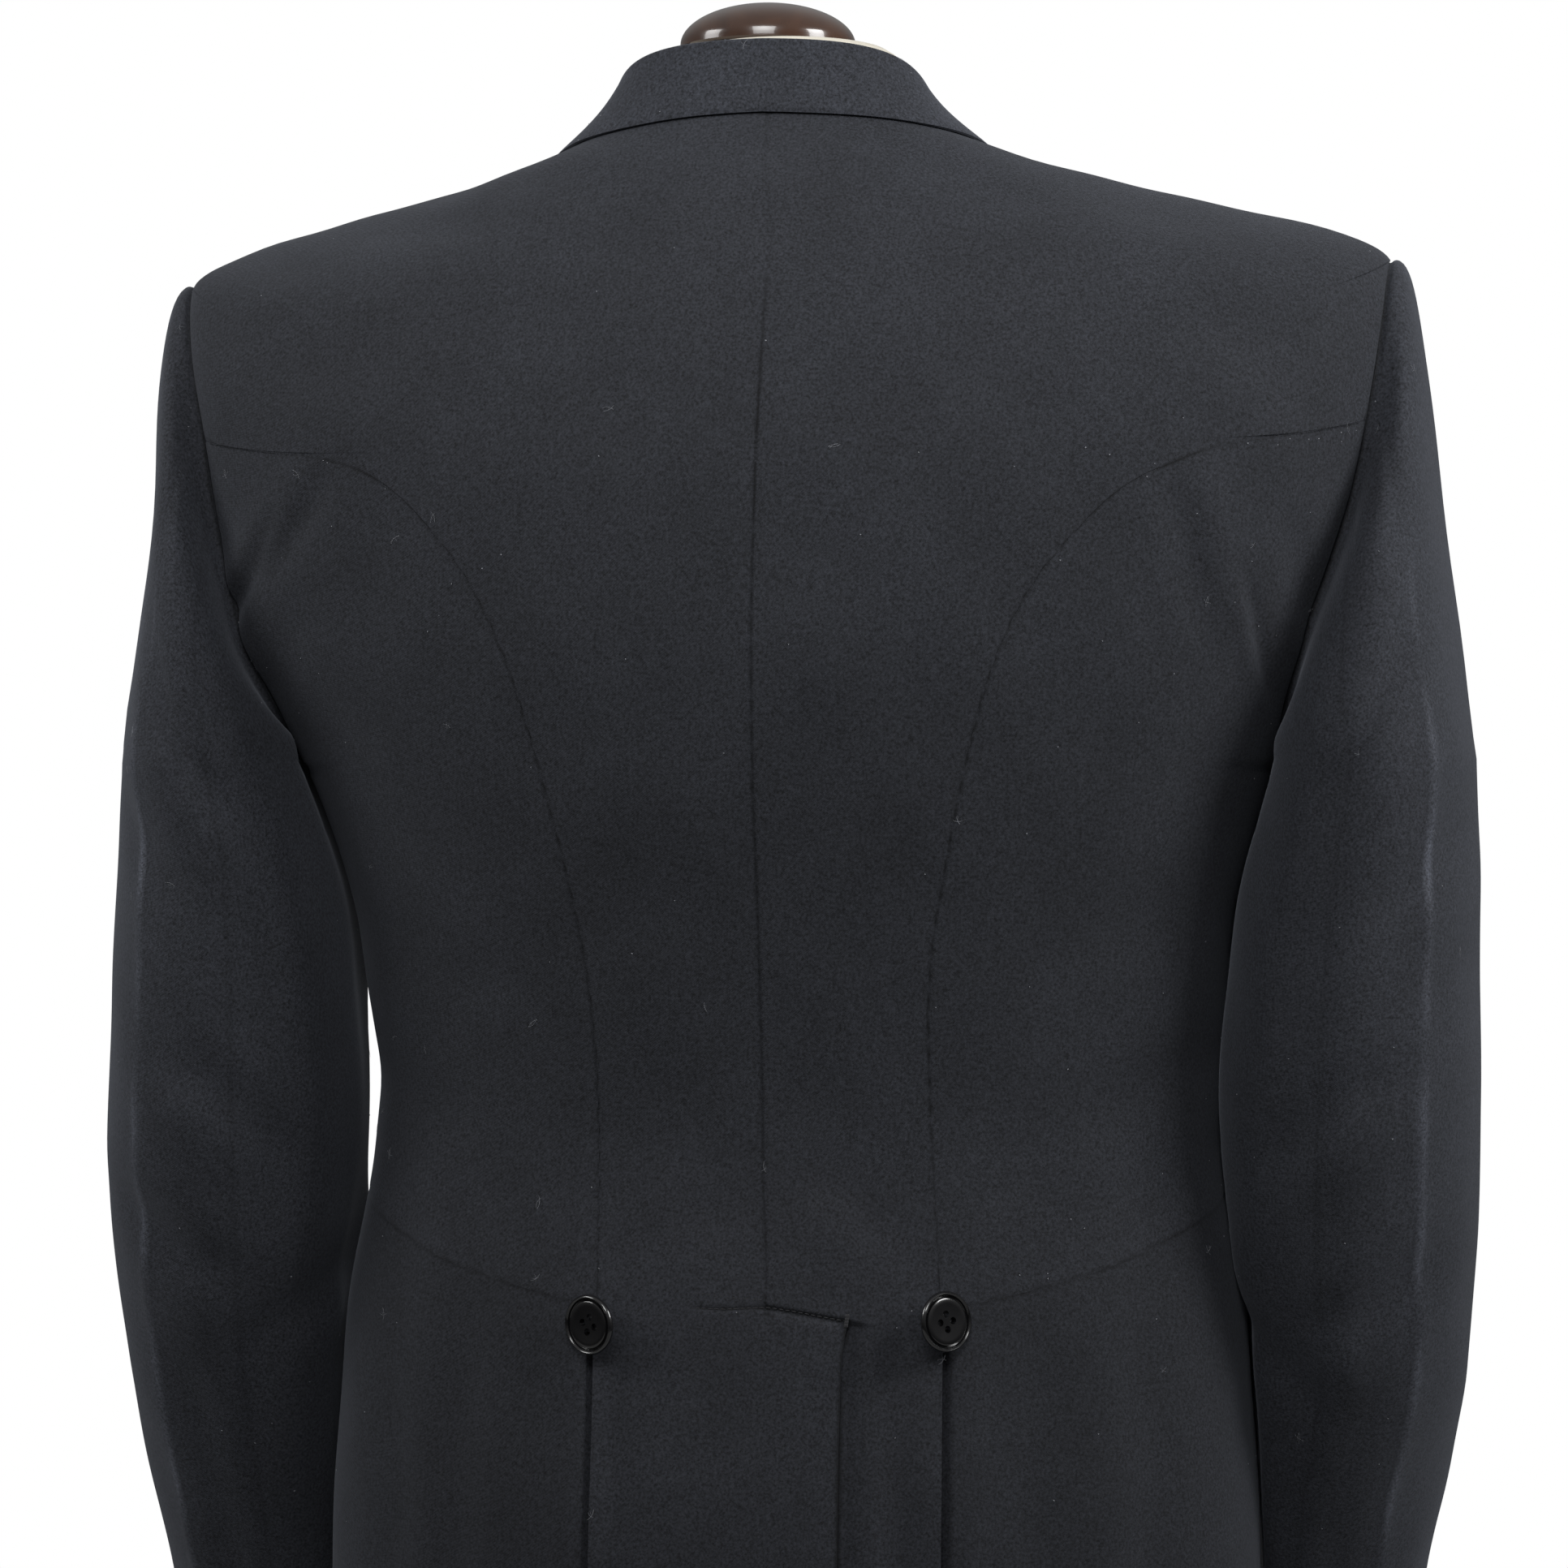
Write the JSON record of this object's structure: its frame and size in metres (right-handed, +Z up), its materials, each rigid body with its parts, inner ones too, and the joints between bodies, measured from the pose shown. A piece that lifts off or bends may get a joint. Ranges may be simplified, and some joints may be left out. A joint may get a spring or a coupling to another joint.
{
  "type": "white tie tailcoat on a dress form",
  "caption": "Dark navy wool tailcoat with curved back seams, hip buttons, vent and tails, worn by a limbless dress form on a pole and round foot",
  "frame": {"origin": "centre of the underside of the round foot, on the floor", "axes": "+Z up along the pole, -Y is the front of the coat, +X is the wearer's left"},
  "size_m": [0.546, 0.38, 1.5407],
  "materials": {
    "coat_wool": "matt fine worsted wool, very dark navy",
    "lapel_silk": "black silk facing with a soft sheen",
    "button_horn": "polished black four-hole button",
    "form_cover": "cream jersey cover",
    "cap_wood": "glossy dark brown turned wood",
    "stand_iron": "satin black paint"
  },
  "bodies": {
    "root": {"back_left": "coat_wool", "back_right": "coat_wool", "side_body_left": "coat_wool", "side_body_right": "coat_wool", "forepart_left": "coat_wool", "forepart_right": "coat_wool", "skirt_left": "coat_wool", "skirt_right": "coat_wool", "sleeve_top_left": "coat_wool", "sleeve_top_right": "coat_wool", "sleeve_under_left": "coat_wool", "sleeve_under_right": "coat_wool", "collar": "coat_wool", "lapel_left": "lapel_silk", "lapel_right": "lapel_silk", "hip_button_left": "button_horn", "hip_button_right": "button_horn", "front_button_left_1": "button_horn", "front_button_left_2": "button_horn", "front_button_left_3": "button_horn", "front_button_right_1": "button_horn", "front_button_right_2": "button_horn", "front_button_right_3": "button_horn", "form_torso": "form_cover", "neck_cap": "cap_wood", "pole": "stand_iron", "base": "stand_iron"}
  },
  "joints": []
}
